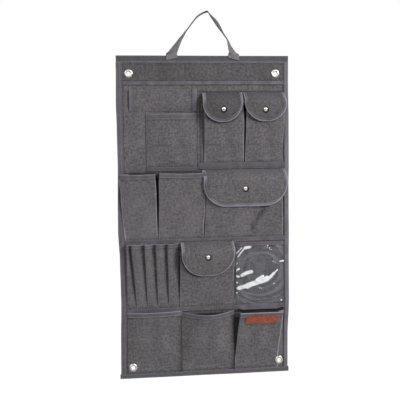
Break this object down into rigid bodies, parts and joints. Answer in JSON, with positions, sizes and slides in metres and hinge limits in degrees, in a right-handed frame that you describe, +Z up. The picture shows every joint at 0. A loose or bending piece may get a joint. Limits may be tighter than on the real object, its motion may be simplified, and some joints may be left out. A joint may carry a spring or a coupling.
{
  "type": "hanging organizer",
  "caption": "Hanging canvas organizer panel with sewn pockets, snap flaps, a clear film pocket, corner eyelets and a webbing carrying handle.",
  "frame": {"origin": "midway between the centres of the two top eyelets, on the back plane of the panel", "axes": "+Z up along the panel, +X to the right as seen from the front, -Y out of the front, +Y towards the wall"},
  "size_m": [0.438, 0.0327, 0.9092],
  "materials": {
    "canvas": "plain woven, mottled dark grey",
    "binding_tape": "fine woven tape with a slight sheen",
    "webbing": "ribbed webbing",
    "clear_film": "clear soft film, glossy and rippled",
    "nickel": "bright nickel plate",
    "leather": "smooth tan leather with cut edges"
  },
  "bodies": {
    "panel": {"back_panel": "canvas", "header_facing": "canvas", "header_tape": "binding_tape", "binding_left": "binding_tape", "binding_right": "binding_tape", "binding_top": "binding_tape", "binding_bottom": "binding_tape", "eyelet_top_left": "nickel", "eyelet_top_right": "nickel", "eyelet_bottom_left": "nickel", "eyelet_bottom_right": "nickel", "sleeve": "canvas", "sleeve_binding_left": "binding_tape", "sleeve_binding_right": "binding_tape", "patch_pocket": "canvas", "patch_pocket_hem": "binding_tape", "row_1_base_tape": "binding_tape", "small_pocket_left": "canvas", "small_snap_stud_left": "nickel", "small_pocket_right": "canvas", "small_snap_stud_right": "nickel", "tall_pocket_left": "canvas", "tall_pocket_left_hem": "binding_tape", "tall_pocket_middle": "canvas", "tall_pocket_middle_hem": "binding_tape", "wide_pocket": "canvas", "wide_snap_stud": "nickel", "row_2_base_tape": "binding_tape", "cutlery_pockets": "canvas", "cutlery_hem": "binding_tape", "round_pocket": "canvas", "round_snap_stud": "nickel", "clear_pocket": "clear_film", "clear_pocket_tape": "binding_tape", "row_3_base_tape": "binding_tape", "low_pocket_left": "canvas", "low_pocket_left_hem": "binding_tape", "low_pocket_middle": "canvas", "low_pocket_middle_hem": "binding_tape", "low_pocket_right": "canvas", "low_pocket_right_hem": "binding_tape", "leather_label": "leather", "handle_tab_left": "webbing", "handle_tab_right": "webbing"},
    "small_flap_left_assembly": {"small_flap_left": "canvas", "small_flap_left_binding": "binding_tape", "small_flap_left_snap_cap": "nickel"},
    "small_flap_right_assembly": {"small_flap_right": "canvas", "small_flap_right_binding": "binding_tape", "small_flap_right_snap_cap": "nickel"},
    "wide_flap_assembly": {"wide_flap": "canvas", "wide_flap_binding": "binding_tape", "wide_flap_snap_cap": "nickel"},
    "round_flap_assembly": {"round_flap": "canvas", "round_flap_binding": "binding_tape", "round_flap_snap_cap": "nickel"},
    "handle_loop": {"handle_webbing": "webbing"}
  },
  "joints": [
    {"name": "small_flap_left_hinge", "type": "hinge", "parent": "panel", "child": "small_flap_left_assembly", "pos_m": [0.051, -0.00255, -0.046], "axis": [-1, 0, 0], "range_deg": [0, 105]},
    {"name": "small_flap_right_hinge", "type": "hinge", "parent": "panel", "child": "small_flap_right_assembly", "pos_m": [0.1542, -0.00255, -0.046], "axis": [-1, 0, 0], "range_deg": [0, 105]},
    {"name": "wide_flap_hinge", "type": "hinge", "parent": "panel", "child": "wide_flap_assembly", "pos_m": [0.1007, -0.00255, -0.238], "axis": [-1, 0, 0], "range_deg": [0, 100]},
    {"name": "round_flap_hinge", "type": "hinge", "parent": "panel", "child": "round_flap_assembly", "pos_m": [0.0056, -0.00465, -0.418], "axis": [-1, 0, 0], "range_deg": [0, 105]},
    {"name": "handle_hinge", "type": "hinge", "parent": "panel", "child": "handle_loop", "pos_m": [0, -0.0048, 0.047], "axis": [1, 0, 0], "range_deg": [-90, 90]}
  ]
}
